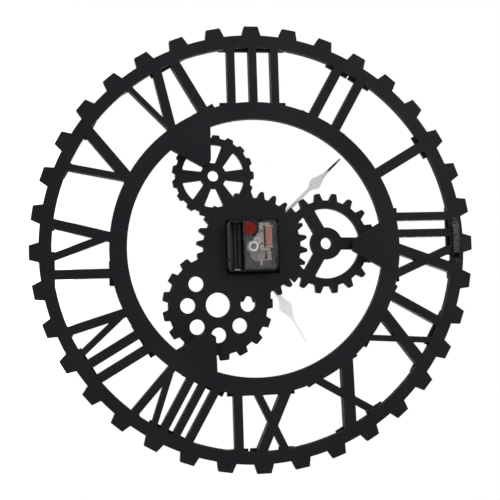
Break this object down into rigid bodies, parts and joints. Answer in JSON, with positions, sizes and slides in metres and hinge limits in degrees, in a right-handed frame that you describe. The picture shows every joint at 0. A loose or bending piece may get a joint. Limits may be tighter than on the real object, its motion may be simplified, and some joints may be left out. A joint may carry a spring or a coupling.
{
  "type": "wall clock",
  "caption": "Wall clock of black painted board: a toothed ring with Roman numerals, a glued plate of display gears, a quartz movement behind and spade hands in front.",
  "frame": {"origin": "middle of the ring's back face, which lies against the wall", "axes": "+X towards III, +Y out of the back into the wall, +Z towards XII"},
  "size_m": [0.4998, 0.0352, 0.4998],
  "materials": {
    "black_board": "matt black paint on sawn board",
    "blackened_steel": "dark zinc",
    "black_plastic": "moulded black plastic, slight sheen",
    "smoky_plastic": "clear smoky plastic",
    "grey_plastic": "moulded dark grey plastic",
    "contact_steel": "nickel plate",
    "board_brown": "red-brown laminate",
    "chip_black": "black resin",
    "crystal_can": "drawn can",
    "cream_plastic": "moulded cream plastic",
    "copper": "enamelled copper wire",
    "core_steel": "punched sheet",
    "magnet": "ground magnet",
    "white_plastic": "moulded off-white plastic",
    "red_plastic": "moulded dark red plastic",
    "brass": "turned brass",
    "hand_metal": "satin silver"
  },
  "bodies": {
    "clock": {"dial_ring": "black_board", "gear_plate": "black_board", "front_gear": "black_board", "numeral_01": "black_board", "numeral_02": "black_board", "numeral_03": "black_board", "numeral_04": "black_board", "numeral_05": "black_board", "numeral_06": "black_board", "numeral_07": "black_board", "numeral_08": "black_board", "numeral_09": "black_board", "numeral_10": "black_board", "numeral_11": "black_board", "numeral_12": "black_board", "sawtooth_hanger": "blackened_steel", "hanger_screws": "blackened_steel", "movement_case": "black_plastic", "movement_cover": "smoky_plastic", "train_plate": "grey_plastic", "battery_contact_plus": "contact_steel", "battery_contact_minus": "contact_steel", "circuit_board": "board_brown", "chip_cover": "chip_black", "quartz_crystal": "crystal_can", "coil_bobbin": "cream_plastic", "coil_winding": "copper", "coil_core": "core_steel", "stator": "core_steel", "mounting_washer": "brass", "mounting_nut": "brass"},
    "minute": {"minute_arbor": "brass", "minute_hand": "hand_metal", "hand_nut": "brass"},
    "hour": {"hour_wheel": "white_plastic", "hour_hand": "hand_metal"},
    "motion": {"motion_wheel": "white_plastic"},
    "knob": {"set_knob": "red_plastic"},
    "second": {"second_wheel": "white_plastic"},
    "third": {"third_wheel": "white_plastic"},
    "centre": {"centre_wheel": "white_plastic"},
    "fifth": {"fifth_wheel": "white_plastic"},
    "rotor": {"rotor": "magnet"}
  },
  "joints": [
    {"name": "minute_spin", "type": "hinge", "parent": "clock", "child": "minute", "pos_m": [0.0016, 0, -0.0044], "axis": [0, 1, 0], "continuous": true},
    {"name": "hour_spin", "type": "hinge", "parent": "clock", "child": "hour", "pos_m": [0.0016, 0, -0.0044], "axis": [0, 1, 0], "continuous": true},
    {"name": "motion_spin", "type": "hinge", "parent": "clock", "child": "motion", "pos_m": [0.0112, 0, -0.00448], "axis": [0, 1, 0], "continuous": true},
    {"name": "knob_spin", "type": "hinge", "parent": "clock", "child": "knob", "pos_m": [0.0216, 0, -0.00741], "axis": [0, 1, 0], "continuous": true},
    {"name": "rotor_spin", "type": "hinge", "parent": "clock", "child": "rotor", "pos_m": [0.0131, 0, 0.00382], "axis": [0, 1, 0], "continuous": true},
    {"name": "fifth_spin", "type": "hinge", "parent": "clock", "child": "fifth", "pos_m": [0.00822, 0, 0.00077], "axis": [0, 1, 0], "continuous": true},
    {"name": "second_spin", "type": "hinge", "parent": "clock", "child": "second", "pos_m": [0.0016, 0, -0.0044], "axis": [0, 1, 0], "continuous": true},
    {"name": "third_spin", "type": "hinge", "parent": "clock", "child": "third", "pos_m": [-0.00666, 0, 0.00117], "axis": [0, 1, 0], "continuous": true},
    {"name": "centre_spin", "type": "hinge", "parent": "clock", "child": "centre", "pos_m": [0.0016, 0, -0.0044], "axis": [0, 1, 0], "continuous": true}
  ],
  "couplings": [
    {"joint": "hour_spin", "follows": "minute_spin", "ratio": 0.083333},
    {"joint": "motion_spin", "follows": "minute_spin", "ratio": -0.33333},
    {"joint": "knob_spin", "follows": "minute_spin", "ratio": 0.66667},
    {"joint": "fifth_spin", "follows": "rotor_spin", "ratio": -0.2},
    {"joint": "second_spin", "follows": "rotor_spin", "ratio": 0.033333},
    {"joint": "third_spin", "follows": "rotor_spin", "ratio": -0.0044444},
    {"joint": "centre_spin", "follows": "rotor_spin", "ratio": 0.00055556}
  ]
}
